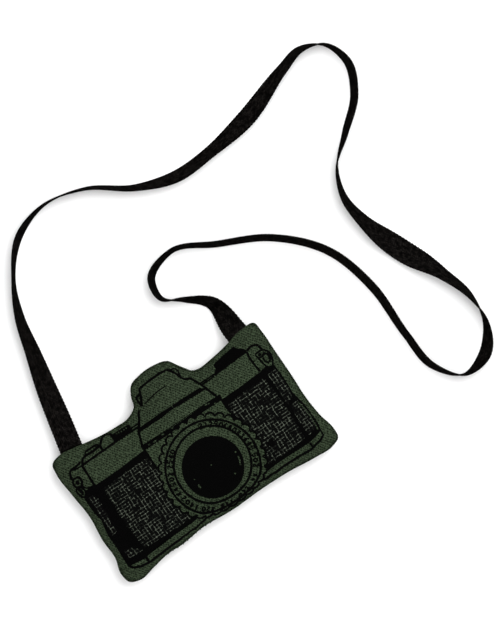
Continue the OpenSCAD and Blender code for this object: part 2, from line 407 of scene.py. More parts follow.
class Surface:
    """A shaped panel, which gives the cloth's point for a place on the flat panel and the other way round."""

    # How much of the full rounding between the corners of a triangle is used
    ROUNDING = 0.7

    def __init__(self, flat, faces, points):
        self.flat = flat
        self.faces = faces
        self.points = points
        self.normals = vertex_normals(points, faces)
        self.plan_tree = BVHTree.FromPolygons([(x, y, 0) for x, y in flat], faces.tolist())
        self.cloth_tree = BVHTree.FromPolygons(points.tolist(), faces.tolist())

    def at(self, places):
        """Points and normals of the cloth, rounded between the corners of its triangles."""
        found = [self.plan_tree.find_nearest((x, y, 0))[2] for x, y in places]
        corners = self.faces[found]
        a, b, c = (self.flat[corners[:, k]] for k in range(3))
        whole = cross2(b - a, c - a)
        share = np.column_stack([
            cross2(b - places, c - places) / whole,
            cross2(c - places, a - places) / whole,
            cross2(a - places, b - places) / whole,
        ])
        corner, normal = self.points[corners], self.normals[corners]
        straight = np.einsum("nk,nkd->nd", share, corner)
        off = np.einsum("nkd,nkd->nk", straight[:, None] - corner, normal)
        bent = np.einsum("nk,nkd->nd", share, straight[:, None] - off[:, :, None] * normal)
        return straight + self.ROUNDING * (bent - straight), unit(np.einsum("nk,nkd->nd", share, normal))

    def places_seen(self, plan_points):
        """Places on the flat panel that show at these points of the focus plane from the viewpoint above."""
        places = []
        for x, y in plan_points:
            ray = Vector((x, y, FOCUS_Z)) - Vector(VIEW_POINT)
            hit, _, face, _ = self.cloth_tree.ray_cast(VIEW_POINT, ray)
            if face is None:
                places.append((x, y))
                continue
            corners = self.faces[face]
            place = geometry.barycentric_transform(
                hit, *(Vector(self.points[i]) for i in corners),
                *(Vector((*self.flat[i], 0)) for i in corners),
            )
            places.append((place.x, place.y))
        return places


# ---- cloth shells ----

# Spacing of the points on the outside, on the inside and along the seam
DISPLAY_PITCH = 1.3
INSIDE_PITCH = 3.0
SEAM_PITCH = 1.5
# Radius of the turned edge at the seam, and half the gap between the two panels there
TURN_R = 0.7
SEAM_GAP = 0.04
# Least height of a panel's inside over the seam: at the seam, and from some way in
INSIDE_LEAST = (TURN_R + CANVAS_T, 1.5)
INSIDE_RUN = (0, 2)
# Free space between the cloth and the stuffing, and the inset at which the stuffing begins
FILL_GAP = 0.4
FILL_INSET = 8.5
# How far in the cloth's lift off the seam reaches, and how near the print's lines a lattice point may come
LIFT_REACH = 2.0
PRINT_CLEARANCE = 0.4 * DISPLAY_PITCH
# The panels part round the webbing: how far beside it they are fully apart, and over what length they close
ROOT_MARGIN = 1.0
ROOT_FADE = 4.0
# Small folds beside the seam: waves round the whole outline, depth, and how far in they are deepest
PUCKER_WAVES = (47, 59, 76)
PUCKER_DEPTH = 0.6
PUCKER_REACH = 3.2
PUCKER_STEP = 0.5
# How often round the outline the folds grow and fade, and the seeds for the front and the back
PUCKER_SWELLS = 9
PUCKER_SEEDS = {1: 11, -1: 12}

# A panel's outside: points when flat and when shaped, normals, triangles, and the shapes over each triangle
Outside = namedtuple("Outside", "flat points normals faces covers")


def puckers(points, side):
    """How far the cloth sinks beside the seam, where its fullness is gathered into small folds."""
    line = outline_curve(PUCKER_STEP)
    tree = plan_tree(line)
    run = np.array([tree.find((x, y, 0))[1] for x, y in points]) * math.tau / len(line)
    depth = distance_to_line(points, line)
    folds = np.zeros(len(points))
    draw = np.random.default_rng(PUCKER_SEEDS[side])
    for waves in PUCKER_WAVES:
        folds += np.sin(waves * run + draw.uniform(0, math.tau))
    strength = 0.6 + 0.4 * np.sin(PUCKER_SWELLS * run + draw.uniform(0, math.tau))
    reach = depth / PUCKER_REACH * np.exp(1 - depth / PUCKER_REACH)
    return PUCKER_DEPTH * reach * strength * folds / len(PUCKER_WAVES)


def seam_gap(points):
    """Half the gap between the panels at places along the seam, wider where the webbing lies between them."""
    away = np.abs(np.abs(points[:, 0]) - STRAP_X) - WEBBING_W / 2 - ROOT_MARGIN
    beside = np.where(points[:, 1] < 0, 0, np.clip(1 - away / ROOT_FADE, 0, 1))
    return SEAM_GAP + beside * WEBBING_T / 2


def panel_outside(line, surface, side, shapes):
    """The outside of a panel, with the outlines of the print's shapes among the edges of its triangles."""
    seen = [surface.places_seen(shape) for shape in shapes]
    extra = lattice(line, DISPLAY_PITCH)
    if seen:
        tree = plan_tree([place for shape in seen for place in shape])
        extra = np.array([p for p in extra if tree.find((*p, 0))[2] > PRINT_CLEARANCE])
    flat, faces, covers = triangulate(line, extra, seen)
    points, normals = surface.at(flat)
    lift = (TURN_R + seam_gap(flat)) * np.exp(-distance_to_line(flat, line) / LIFT_REACH)
    points[:, 2] += side * lift
    points -= normals * puckers(flat, side)[:, None]
    points[:, 2] = np.maximum(points[:, 2], 0)
    return Outside(flat, points, normals, faces[:, ::side], covers)


def turned_edge(line, side):
    """Rings of points from the rounded edge at the seam to both faces of the allowance's inner border."""
    inward = left_of(unit(np.roll(line, -1, axis=0) - np.roll(line, 1, axis=0)))
    gap = seam_gap(line)
    rings = []
    for turn in (30, 60, 90):
        inset = TURN_R * (1 - math.cos(math.radians(turn)))
        rise = TURN_R * (1 - math.sin(math.radians(turn)))
        rings.append(np.column_stack([line + inward * inset, SEAM_Z + side * (gap + rise)]))
    border = line * (1 - ALLOWANCE / HALF_SIZE)
    for rise in (0, CANVAS_T):
        rings.append(np.column_stack([border, SEAM_Z + side * (gap + rise)]))
    return rings


def panel_inside(line, surface, side):
    """The inside of a panel: places when flat, points one cloth thickness in from the outside, triangles."""
    flat, faces, _ = triangulate(line, lattice(line, INSIDE_PITCH))
    points, normals = surface.at(flat)
    points = points - CANVAS_T * normals
    least = np.interp(distance_to_line(flat, line), INSIDE_RUN, INSIDE_LEAST)
    points[:, 2] = side * np.maximum(side * points[:, 2], side * (SEAM_Z + side * least))
    return flat, points, faces


def band(upper, lower):
    """Faces between two closed rings of points, which are given by their indices."""
    return np.column_stack([np.roll(upper, -1), upper, lower, np.roll(lower, -1)])


def cloth_shell(name, surface, side, shapes, material):
    """One panel as a closed shell: its outside, the edge turned in at the seam and its inside."""
    line = outline_curve(SEAM_PITCH)
    outside = panel_outside(line, surface, side, shapes)
    rings = turned_edge(line, side)
    inner_flat, inner_points, inner_faces = panel_inside(line, surface, side)

    count = len(line)
    first_ring = len(outside.points)
    first_inner = first_ring + count * len(rings)
    bands = [nearest_index(outside.flat, line)]
    bands += [first_ring + count * k + np.arange(count) for k in range(len(rings))]
    bands.append(first_inner + nearest_index(inner_flat, line))
    polygons = outside.faces.tolist()
    for upper, lower in zip(bands, bands[1:]):
        polygons += band(upper, lower)[:, ::side].tolist()
    polygons += (first_inner + inner_faces[:, ::-side]).tolist()
    vertices = np.vstack([outside.points, *rings, inner_points])
    uv = np.vstack([outside.flat, *([line] * len(rings)), inner_flat])
    return mesh_object(name, vertices, polygons, material, uv=uv), outside


def make_fill(front_surface, back_surface, material):
    """The stuffing, a little smaller than the space inside the cloth."""
    line = outline_curve(INSIDE_PITCH) * (1 - FILL_INSET / HALF_SIZE)
    flat, faces, _ = triangulate(line, lattice(line, INSIDE_PITCH))
    layers = []
    for surface in (front_surface, back_surface):
        points, normals = surface.at(flat)
        layers.append(points - (CANVAS_T + FILL_GAP) * normals)
    order = nearest_index(flat, line)
    count = len(flat)
    polygons = faces.tolist() + (count + faces[:, ::-1]).tolist() + band(order, count + order).tolist()
    return mesh_object("fibre_fill", np.vstack(layers), polygons, material)


# ---- print ----

# What a shape of the print lays down: black ink, bare canvas, or ink broken by a fine light hatch
INK = "ink"
BARE = "bare"
HATCH = "hatch"
# Widths of the lines
LINE_W = 1.5
THIN_W = 1.2
FINE_W = 1.05
# Length of the straight pieces of a line and of a hatch's edge
LINE_STEP = 1.6
EDGE_STEP = 1.5
# How much a line's width swells, and how fast that changes across and up the sheet
SWELL = 0.16
SWELL_RATE = (0.9, 0.7)
# Least length of the sum of two headings, which keeps a hairpin from growing a long tip
HAIRPIN = 0.3


class Print:
    """The print as filled shapes seen from above, in millimetres; a later shape covers those before it."""

    def __init__(self):
        self.kinds = []
        self.shapes = []

    def fill(self, kind, points):
        """A filled shape of one kind."""
        self.kinds.append(kind)
        self.shapes.append([(float(x), float(y)) for x, y in points])

    def line(self, points, width=LINE_W, closed=False, kind=INK):
        """A hand-drawn line: its width swells and thins a little along the way."""
        points = resample(points, LINE_STEP, closed)
        if closed:
            points = np.vstack([points, points[:1]])
        step = unit(np.diff(points, axis=0))
        before = np.vstack([step[-1:] if closed else step[:1], step])
        after = np.vstack([step, step[:1] if closed else step[-1:]])
        along = before + after
        along /= np.maximum(np.linalg.norm(along, axis=1, keepdims=True), HAIRPIN)
        swell = 1 + SWELL * np.sin(points[:, 0] * SWELL_RATE[0]) * np.cos(points[:, 1] * SWELL_RATE[1])
        side = left_of(along) * (width / 2 * swell)[:, None]
        left, right = points + side, points - side
        for k in range(len(points) - 1):
            quad = np.array([right[k], right[k + 1], left[k + 1], left[k]])
            if not is_convex(quad):
                square = np.array([-step[k][1], step[k][0]]) * width / 2
                ends = points[k:k + 2]
                quad = np.vstack([ends - square, ends[::-1] + square])
            self.fill(kind, quad)


def ellipse(centre, radius_x, radius_y, step=6):
    """Points of an ellipse, counter-clockwise, with the step between them in degrees."""
    angles = np.radians(np.arange(0, 360, step))
    return np.column_stack([centre[0] + radius_x * np.cos(angles), centre[1] + radius_y * np.sin(angles)])


def print_top_cover(sheet):
    """Cover, dials and knobs left and right of the prism, drawn as line art."""
    sheet.line([(-63.3, 25.6), (-50, 26.1), (-36, 26.4), (-28, 26.6), (-19.8, 26.2)])
    sheet.line([(-63, 25.6), (-63.1, 18), (-63.3, 11)])
    sheet.line([(-25, 28), (-19, 28.1)], FINE_W)
    sheet.line([(-62.3, 26), (-60.5, 28.9), (-57.7, 29.5), (-52, 29.3), (-47.4, 29.5)])
    sheet.fill(INK, [(-58.6, 29.2), (-57.4, 31.5), (-55.8, 32.2), (-49, 32.1), (-47, 31.3), (-47, 29.2)])
    sheet.fill(BARE, [(-57.3, 30.3), (-56.3, 31), (-50.5, 31), (-48.6, 30.4), (-52, 30.2)])
    sheet.line([(-46.9, 26.4), (-47.1, 29.4), (-45.9, 30.8), (-43, 33.4)])
    sheet.line([(-43, 33.5), (-38.5, 33.7), (-37.3, 31.5), (-37.5, 26.6)])
    sheet.fill(INK, [(-37.5, 26.8), (-37.3, 31.5), (-31, 31.4), (-24.7, 31), (-24.4, 30.3), (-25, 26.8)])
    for x in (-34.5, -32.9, -31.2, -29.3, -27.6):
        sheet.fill(BARE, [(x, 29.4), (x + 0.7, 29.6), (x + 0.6, 30.6), (x - 0.1, 30.5)])
    sheet.line([(26.3, 27.6), (31, 27.5), (36.5, 27.4)], FINE_W)
    sheet.line([(26.8, 26.3), (36, 26.3)], FINE_W)
    sheet.fill(INK, [
        (36.2, 26.4), (37.2, 28), (39.2, 29.9), (39, 32.3), (40.2, 33.1), (47, 34), (51.5, 34.9), (56, 35),
        (57.6, 32.5), (60, 31.2), (61.2, 29.2), (60.8, 28.2), (52, 27.9), (43, 27.4),
    ])
    sheet.line([(36.4, 26.9), (45, 27.5), (53, 28), (61.2, 28.2)])


def print_strap_lugs(sheet):
    """End caps of the cover, each with a lug and a split ring."""
    sheet.line([(-73, 21.5), (-72.2, 25), (-71.2, 26.9), (-67, 27.1), (-62.6, 28)])
    sheet.line([(-71, 27), (-67, 25.9), (-63.2, 25.6)], FINE_W)
    sheet.line(ellipse((-71.1, 18.4), 2.9, 3.2), THIN_W, True)
    sheet.fill(INK, ellipse((-71.2, 18.4), 1.3, 1.5, step=30))
    sheet.line([(-72.5, 21.4), (-68.2, 21.4), (-68.3, 17.6), (-69.6, 16)], THIN_W)
    sheet.line(ellipse((-72.4, 12.3), 2.3, 3.7), THIN_W, True)
    sheet.line([(-71.4, 16), (-72.6, 14.5), (-72, 12), (-73, 10)], 1.85)
    sheet.line([(-69.6, 16), (-69.3, 13.5), (-68, 12), (-64, 11.2)], THIN_W)
    sheet.line([(61, 28), (60.4, 24), (60.6, 19), (61.3, 13.4)])
    sheet.line([(61.3, 28.3), (65, 29.4), (68.5, 28.4), (69.4, 26), (69.9, 23.6)])
    sheet.line([(69.8, 23.9), (64.4, 23.9), (65, 20), (65.6, 16), (66.2, 14)], THIN_W)
    sheet.line([(69.8, 23.9), (71.8, 22), (72.5, 18.8), (72, 15.5), (70.2, 12)], 1.4)
    sheet.fill(INK, ellipse((66.8, 22), 1.2, 1.1, step=30))
    sheet.line([(65.6, 20.6), (67.5, 20.1), (69.4, 20.6), (69.7, 22.2)], FINE_W)
    sheet.line(ellipse((69.2, 18.1), 1.9, 3.1), THIN_W, True)


def print_prism(sheet):
    """Prism housing over the lens, with its two dark bands."""
    sheet.line([
        (-25.2, 15), (-23.8, 18.8), (-22.3, 23.6), (-20.2, 26.2), (-17.4, 30.3), (-16, 33.3), (-14.3, 34.6),
    ])
    sheet.line([(-11.7, 35.6), (-10.5, 37.9), (-8.9, 41.5), (-6.9, 45.7), (0, 46.4), (6, 46.7), (13.4, 46.3)])
    sheet.line([(13.4, 46.3), (15.2, 44.2), (17.4, 40.4), (18.4, 36.8), (19.8, 34.9), (23, 33.6)])
    sheet.line([(22.8, 33.7), (24.2, 31), (25.6, 28), (27.2, 24.2), (28.6, 20), (30.2, 15.3)])
    sheet.line([(-8.9, 42.9), (-12, 42), (-12, 39.5), (-11.6, 36)])
    sheet.line([(15.4, 44.7), (17.9, 44.5), (19.1, 42.4), (18.6, 38.6)], 0.9)
    sheet.line([(-9.6, 35.9), (-4, 37.2), (2, 38.1), (7.4, 38.1)], 0.8)
    band = [(-22.2, 24.8), (-20, 25.5), (-6, 25.9), (12, 25.9), (24.6, 25.5), (25.2, 24.5), (27.5, 24)]
    sheet.fill(INK, band + [(27, 22.7), (10, 23.2), (-8, 23), (-22, 23)])
    sheet.fill(BARE, [(3.6, 25.8), (3.8, 24.6), (4.1, 24.6), (4.3, 25.8)])
    sheet.fill(INK, [
        (-25.7, 15.6), (-10, 15.3), (10, 15.4), (24, 15.5), (31.6, 15.2), (32.1, 11.6), (19, 11.8), (-6, 12),
        (-25.7, 12),
    ])
    for x, y, width in ((-21, 13.5, 1.6), (-17, 13.2, 2.6), (-10.5, 14, 2.2), (-3.6, 14.1, 1.4),
                        (21.8, 14.6, 2.0), (23.6, 14.2, 1.4), (27, 12.2, 1.1)):
        sheet.fill(BARE, ellipse((x, y), width / 2, 0.45, step=45))
    sheet.line([(-25.5, 15.6), (-25.3, 6), (-25.4, -2)])
    sheet.line([(31.8, 15.4), (31.6, 8), (32, 2)])


def wavy(points, reach, seed):
    """The outline resampled, with every point moved a little, for the uneven edge of a drawn hatch."""
    draw = np.random.default_rng(seed)
    points = resample(points, EDGE_STEP, True)
    return points + draw.uniform(-reach, reach, points.shape)


def print_leatherette(sheet):
    """The two dark panels of the body, hatched in the middle and solid along their edges."""
    sheet.fill(INK, [
        (-70, 11.6), (-60, 10.9), (-45, 11.1), (-34, 11.9), (-25.4, 12.3), (-25.4, -3), (-20, -12),
        (-20, -41.4), (-38.6, -41.9), (-61, -43.4), (-66, -43.2), (-71.4, -41.8), (-72.6, -44), (-73.7, -42),
        (-73.3, -30), (-73.5, -19.5), (-72.6, -13), (-71.7, -9.5), (-72.8, -4), (-73.2, 3.5), (-72.9, 8.5),
    ])
    sheet.fill(HATCH, wavy([
        (-59.8, 6.2), (-50, 6.8), (-26.2, 7.6), (-26.2, -3), (-20, -12), (-20, -38), (-34, -39),
        (-59, -38.6), (-60.4, -20),
    ], 0.5, 1))
    sheet.fill(HATCH, wavy([
        (-71.2, 7.2), (-67.4, 7), (-65.8, 3), (-66.8, -3), (-66.2, -9), (-68.2, -14), (-67.4, -20),
        (-71, -21), (-70.2, -8),
    ], 0.6, 2))
    sheet.fill(HATCH, wavy([(-70.2, -33), (-66, -33), (-63, -36), (-60.5, -39), (-70, -38.8)], 0.4, 3))
    sheet.fill(INK, [
        (31.6, 11.9), (45, 12.1), (60, 12.9), (64, 13.6), (66.4, 14), (68, 12.9), (70.8, 11.9), (71.3, 6),
        (71.2, -4), (70.9, -8.5), (71.6, -12.5), (73, -19), (73.6, -29.5), (72.9, -37), (72.4, -41.4),
        (71.7, -41.4), (71.8, -38.3), (66, -40), (62, -40.5), (50, -40.3), (38, -40.2), (22, -41.8),
        (28, -20), (31.6, 2),
    ])
    sheet.fill(HATCH, wavy([
        (33, 7.4), (45, 8), (61, 8), (61.6, 0), (62.4, -20), (61.6, -36.6), (50, -37.8), (34, -37.6),
        (30, -20), (33, -2),
    ], 0.5, 4))
    sheet.fill(HATCH, wavy([(64.2, 9), (70, 10), (70.2, -5), (69.6, -10), (64.4, -14)], 0.4, 5))
    sheet.fill(HATCH, wavy([(65, -15), (70.8, -14), (72, -22), (72.2, -34), (65, -37), (64.4, -24)], 0.4, 6))
    sheet.line([(70.4, -15.5), (71.6, -21), (71.9, -29), (71.2, -36.5)], 0.7, kind=BARE)
    sheet.fill(INK, wavy([(40.4, -25.8), (44.4, -25), (44.2, -30), (40.6, -30.2)], 0.3, 7))


def print_base_plate(sheet):
    """Base plate with its end caps."""
    sheet.line([(-71.8, -42.2), (-66, -43), (-61.3, -43.6)], FINE_W)
    sheet.line([(-73.2, -42), (-71.4, -44.6), (-67, -46.6), (-61, -47.4), (-50, -46.7), (-36, -45.9)])
    sheet.line([(-61.2, -43.4), (-61.3, -46.8)])
    sheet.line([(-36, -45.9), (-21.4, -45.2), (-16, -43.6)], THIN_W)
    sheet.line([(22.3, -43), (29.5, -44.3), (42.3, -43.8), (52, -44), (60.5, -44.7), (69, -42.9),
                (72.6, -41)])
    sheet.line([(62.6, -40.6), (62.6, -44.3)])


# ---- lens of the print ----

# Centres and radii: the dark glass, barrel and grip share one centre, and the rim has its own
LENS = (4.15, -20.1)
LENS_DISC = 19.45
RIM = (4.8, -18.6)
LENS_RIM = 24.1
LENS_BARREL = 29.6
LENS_GRIP = 34.0
GRIP_BUMPS = 33
GRIP_LINE = 1.35
# Outline of one bump of the grip: share of the way along it, and how far the outline dips there
GRIP_PROFILE = ((0, 2.5), (0.13, 0.9), (0.3, 0.15), (0.5, 0), (0.7, 0.15), (0.87, 0.9))
NUMERAL_H = 3.3
NUMERAL_W = 2.1
NUMERAL_STEP = 3.2
NUMERAL_LINE = 1.15
# The cloth turns down towards the bottom seam: where that begins, and how fast the drawing shortens there
TURN_DOWN_Y = -36
SHORTENING = 0.036
# Numerals between the rim and the barrel, and the angle of the middle of each group
LENS_SCALE = [
    ("21250", 59.5), ("6408", 30), ("1645", 3), ("502", -24), ("84", -48), ("260", -73), ("145", -101),
    ("620", -129), ("1402", -156), ("64", 181), ("502", 163), ("2540", 136),
]
# The stroke of each numeral on a grid that is 1 wide and 1 high
NUMERALS = {
    "0": [(0.5, 0), (1, 0.3), (1, 0.7), (0.5, 1), (0, 0.7), (0, 0.3), (0.5, 0)],
    "1": [(0.2, 0.75), (0.6, 1), (0.6, 0)],
    "2": [(0, 0.8), (0.5, 1), (1, 0.75), (0, 0), (1, 0)],
    "4": [(0.7, 0), (0.7, 1), (0, 0.3), (1, 0.3)],
    "5": [(1, 1), (0.1, 1), (0, 0.55), (0.8, 0.6), (1, 0.3), (0.5, 0), (0, 0.1)],
    "6": [(0.9, 1), (0.1, 0.5), (0, 0.2), (0.5, 0), (1, 0.25), (0.5, 0.55), (0, 0.3)],
    "8": [(0.5, 0.55), (0.95, 0.8), (0.5, 1), (0.05, 0.8), (0.5, 0.55), (1, 0.25), (0.5, 0), (0, 0.25),
          (0.5, 0.55)],
}


def lens_point(radius, angle, centre=LENS):
    """Point of the lens drawing; near the bottom seam the cloth turns down, so the drawing looks shorter."""
    x = centre[0] + radius * math.cos(math.radians(angle))
    y = centre[1] + radius * math.sin(math.radians(angle))
    below = max(0, TURN_DOWN_Y - y)
    return x, y + below - below / (1 + SHORTENING * below)


def lens_ring(radius, centre=LENS):
    """Points all round one of the lens's circles."""
    return [lens_point(radius, angle, centre) for angle in range(0, 360, 5)]


def grip_outline():
    """Scalloped outline of the focus grip: round bumps with a narrow notch between each two."""
    points = []
    for k in range(GRIP_BUMPS):
        for share, dip in GRIP_PROFILE:
            points.append(lens_point(LENS_GRIP - dip, 360 * (k + share) / GRIP_BUMPS))
    return points


def lens_text(sheet, text, angle, radius):
    """Numerals round the lens, upright when read from outside it."""
    for k, letter in enumerate(text):
        middle = angle - math.degrees((k - (len(text) - 1) / 2) * NUMERAL_STEP / radius)
        points = []
        for across, up in NUMERALS[letter]:
            turn = middle - math.degrees((across - 0.5) * NUMERAL_W / radius)
            points.append(lens_point(radius + (up - 0.5) * NUMERAL_H, turn))
        sheet.line(points, NUMERAL_LINE)


def print_lens(sheet):
    """The lens: grip, rings, numerals, and the dark glass with a few glints."""
    sheet.fill(BARE, grip_outline())
    sheet.line(grip_outline(), GRIP_LINE, True)
    sheet.line(lens_ring(LENS_BARREL), closed=True)
    sheet.line(lens_ring(LENS_RIM, RIM), closed=True)
    for text, angle in LENS_SCALE:
        lens_text(sheet, text, angle, (LENS_RIM + LENS_BARREL) / 2)
    sheet.fill(INK, lens_ring(LENS_DISC))
    for x, y, rx, ry in ((-9.4, -25.3, 0.7, 1.5), (-9.6, -20, 0.5, 0.5), (20.9, -20, 0.7, 0.5),
                         (13.4, -30.8, 0.5, 0.6), (4, -18.3, 0.45, 0.5)):
        sheet.fill(BARE, ellipse((x, y), rx, ry, step=45))
    sheet.line([(20.9, -22.9), (20.4, -25.5), (19, -28.4)], 0.9, kind=BARE)


def camera_print():
    """The whole print, from the shapes at the bottom to the lines on top."""
    sheet = Print()
    print_leatherette(sheet)
    print_base_plate(sheet)
    sheet.fill(BARE, [(-25.3, 15), (31.6, 15), (31.7, 0), (20, -14), (-18, -14), (-25.2, -2)])
    print_prism(sheet)
    print_top_cover(sheet)
    print_strap_lugs(sheet)
    print_lens(sheet)
    return sheet


# The ink stands a little proud of the cloth and soaks a little way into it
INK_LIFT = 0.05
INK_DEPTH = 0.1


def printed_pieces(sheet, outside, materials):
    """The ink as thin closed pieces, one for the solid ink and one for the hatched panels."""
    top = [sheet.kinds[max(cover)] if cover else BARE for cover in outside.covers]
    made = []
    for kind, name in ((INK, "printed_ink"), (HATCH, "printed_hatch")):
        chosen = outside.faces[[k == kind for k in top]]
        used, index = np.unique(chosen, return_inverse=True)
        index = index.reshape(-1, 3)
        count = len(used)
        edges = {(a, b) for tri in index.tolist() for a, b in zip(tri, tri[1:] + tri[:1])}
        polygons = index.tolist() + (count + index[:, ::-1]).tolist()
        polygons += [(b, a, count + a, count + b) for a, b in edges if (b, a) not in edges]
        points, normals = outside.points[used], outside.normals[used]
        vertices = np.vstack([points + normals * INK_LIFT, points - normals * INK_DEPTH])
        uv = np.tile(outside.flat[used], (2, 1))
        made.append(mesh_object(name, vertices, polygons, materials[kind], np.tile(normals, (2, 1)), uv))
    return made


# ---- strap ----

# Spacing of the stations, then pitch and depth of the scallops along the selvedges
STRAP_PITCH = 0.5
SELVEDGE_PITCH = 2.2
SELVEDGE_DEPTH = 0.3
# Share of the half width beyond which the section belongs to the scalloped selvedge
SELVEDGE_FROM = 0.9
# How far the free webbing is drawn on into the seam at each root
STRAP_TUCK = 1.5
# Half section of the webbing: place across as a share of its half width, and half thickness there
WEBBING_SECTION = [
    (1.0, 0.0), (0.995, 0.3), (0.97, 0.5), (0.92, 0.56), (0.84, 0.5), (0.6, 0.47), (0.3, 0.5), (0.0, 0.48),
    (-0.3, 0.5), (-0.6, 0.47), (-0.84, 0.5), (-0.92, 0.56), (-0.97, 0.5), (-0.995, 0.3),
]


def strap_frames():
    """Even stations along the route: the webbing's middle, and unit vectors across it and off its face."""
    route = resample(smooth_curve(ROUTE, ROUTE_STEPS, False), STRAP_PITCH, False)
    roll = np.radians(route[:, 3])
    middle = route[:, :3].copy()
    middle[:, 2] = np.maximum(0, middle[:, 2])
    middle[:, 2] += WEBBING_W / 2 * np.abs(np.sin(roll)) + WEBBING_T / 2 * np.abs(np.cos(roll))
    along = unit(np.gradient(middle, axis=0))
    plan = unit(along[:, :2])
    across = np.column_stack([-plan[:, 1] * np.cos(roll), plan[:, 0] * np.cos(roll), np.sin(roll)])
    across -= along * np.einsum("nd,nd->n", across, along)[:, None]
    across = unit(across)
    return middle, across, np.cross(along, across)


def swept_faces(stations, sides):
    """Faces of a closed section swept through stations, with both ends closed."""
    faces = []
    for k in range(stations - 1):
        for i in range(sides):
            j = (i + 1) % sides
            faces.append((k * sides + i, k * sides + j, (k + 1) * sides + j, (k + 1) * sides + i))
    faces.append(tuple(range(sides))[::-1])
    faces.append(tuple((stations - 1) * sides + i for i in range(sides)))
    return faces


def make_strap(material):
    """The free webbing with its scalloped selvedges; also returns the line along its middle."""
    middle, across, off = strap_frames()
    tuck = (middle[[0, -1]] - middle[[1, -2]]) / STRAP_PITCH * STRAP_TUCK
    middle = np.vstack([middle[:1] + tuck[:1], middle, middle[-1:] + tuck[1:]])
    across = across[[0, *range(len(across)), -1]]
    off = off[[0, *range(len(off)), -1]]
    section = WEBBING_SECTION + [(-1.0, 0.0)] + [(u, -t) for u, t in reversed(WEBBING_SECTION[1:])]
    run = np.arange(len(middle)) * STRAP_PITCH
    scallop = 1 - SELVEDGE_DEPTH / WEBBING_W * (1 + np.sin(run * math.tau / SELVEDGE_PITCH))
    vertices = []
    uv = []
    for u, t in section:
        place = u * WEBBING_W / 2 * (scallop if abs(u) > SELVEDGE_FROM else np.ones(len(run)))
        vertices.append(middle + across * place[:, None] + off * t)
        uv.append(np.column_stack([np.full(len(run), u * WEBBING_W / 2), run]))
    vertices = np.stack(vertices, axis=1).reshape(-1, 3)
    uv = np.stack(uv, axis=1).reshape(-1, 2)
    strap = mesh_object("webbing_strap", vertices, swept_faces(len(run), len(section)), material, uv=uv)
    return strap, middle


# ---- stitches ----

# Pitch of the hand stitches, radius of their thread, and sides of the tube that stands for it
HAND_PITCH = 3.6
HAND_THREAD_R = 0.2
THREAD_SIDES = 8
# A direction that no stitch runs in
ACROSS = (0.3, 0.2, 0.93)
# A whip stitch is an arc over the seam: half its angle in degrees, its points, reach outward and up, inset
# and slant
STITCH_ARC = 75
STITCH_POINTS = 9
STITCH_OUT = 1.0
STITCH_UP = 1.1
STITCH_INSET = 0.75
STITCH_SLANT = 0.55
# Spacing of the seam's points here, and how many of them ahead give its direction
SEAM_STEP = 0.5
SEAM_AHEAD = 4


def tube(points):
    """Vertices and faces of a round thread along the points, closed at both ends."""
    along = unit(np.gradient(points, axis=0))
    one = unit(np.cross(along, ACROSS))
    two = np.cross(along, one)
    vertices = []
    for p, a, b in zip(points, one, two):
        for k in range(THREAD_SIDES):
            angle = math.tau * k / THREAD_SIDES
            vertices.append(p + HAND_THREAD_R * (a * math.cos(angle) + b * math.sin(angle)))
    return vertices, swept_faces(len(points), THREAD_SIDES)


def make_hand_stitches(material):
    """Slanting whip stitches over the seam along the turning gap."""
    line = outline_curve(SEAM_STEP)
    length = (len(line) - 1) * SEAM_STEP
    vertices, faces = [], []
    for start in np.arange(0, length, HAND_PITCH):
        k = int(start / SEAM_STEP)
        x, y = line[k]
        if y > 0 or not TURNING_GAP[0] < x < TURNING_GAP[1]:
            continue
        ahead = line[(k + SEAM_AHEAD) % len(line)] - line[k]
        along = ahead / np.linalg.norm(ahead)
        outward = np.array([along[1], -along[0]])
        points = []
        for turn in np.linspace(-STITCH_ARC, STITCH_ARC, STITCH_POINTS):
            angle = math.radians(turn)
            place = line[k] + outward * (math.cos(angle) * STITCH_OUT - STITCH_INSET)
            place = place + along * turn / STITCH_ARC * STITCH_SLANT
            points.append((*place, SEAM_Z - STITCH_UP * math.sin(angle)))
        more, polygons = tube(points)
        faces += [tuple(i + len(vertices) for i in polygon) for polygon in polygons]
        vertices += more
    return mesh_object("hand_stitches", vertices, faces, material)


# ---- materials ----


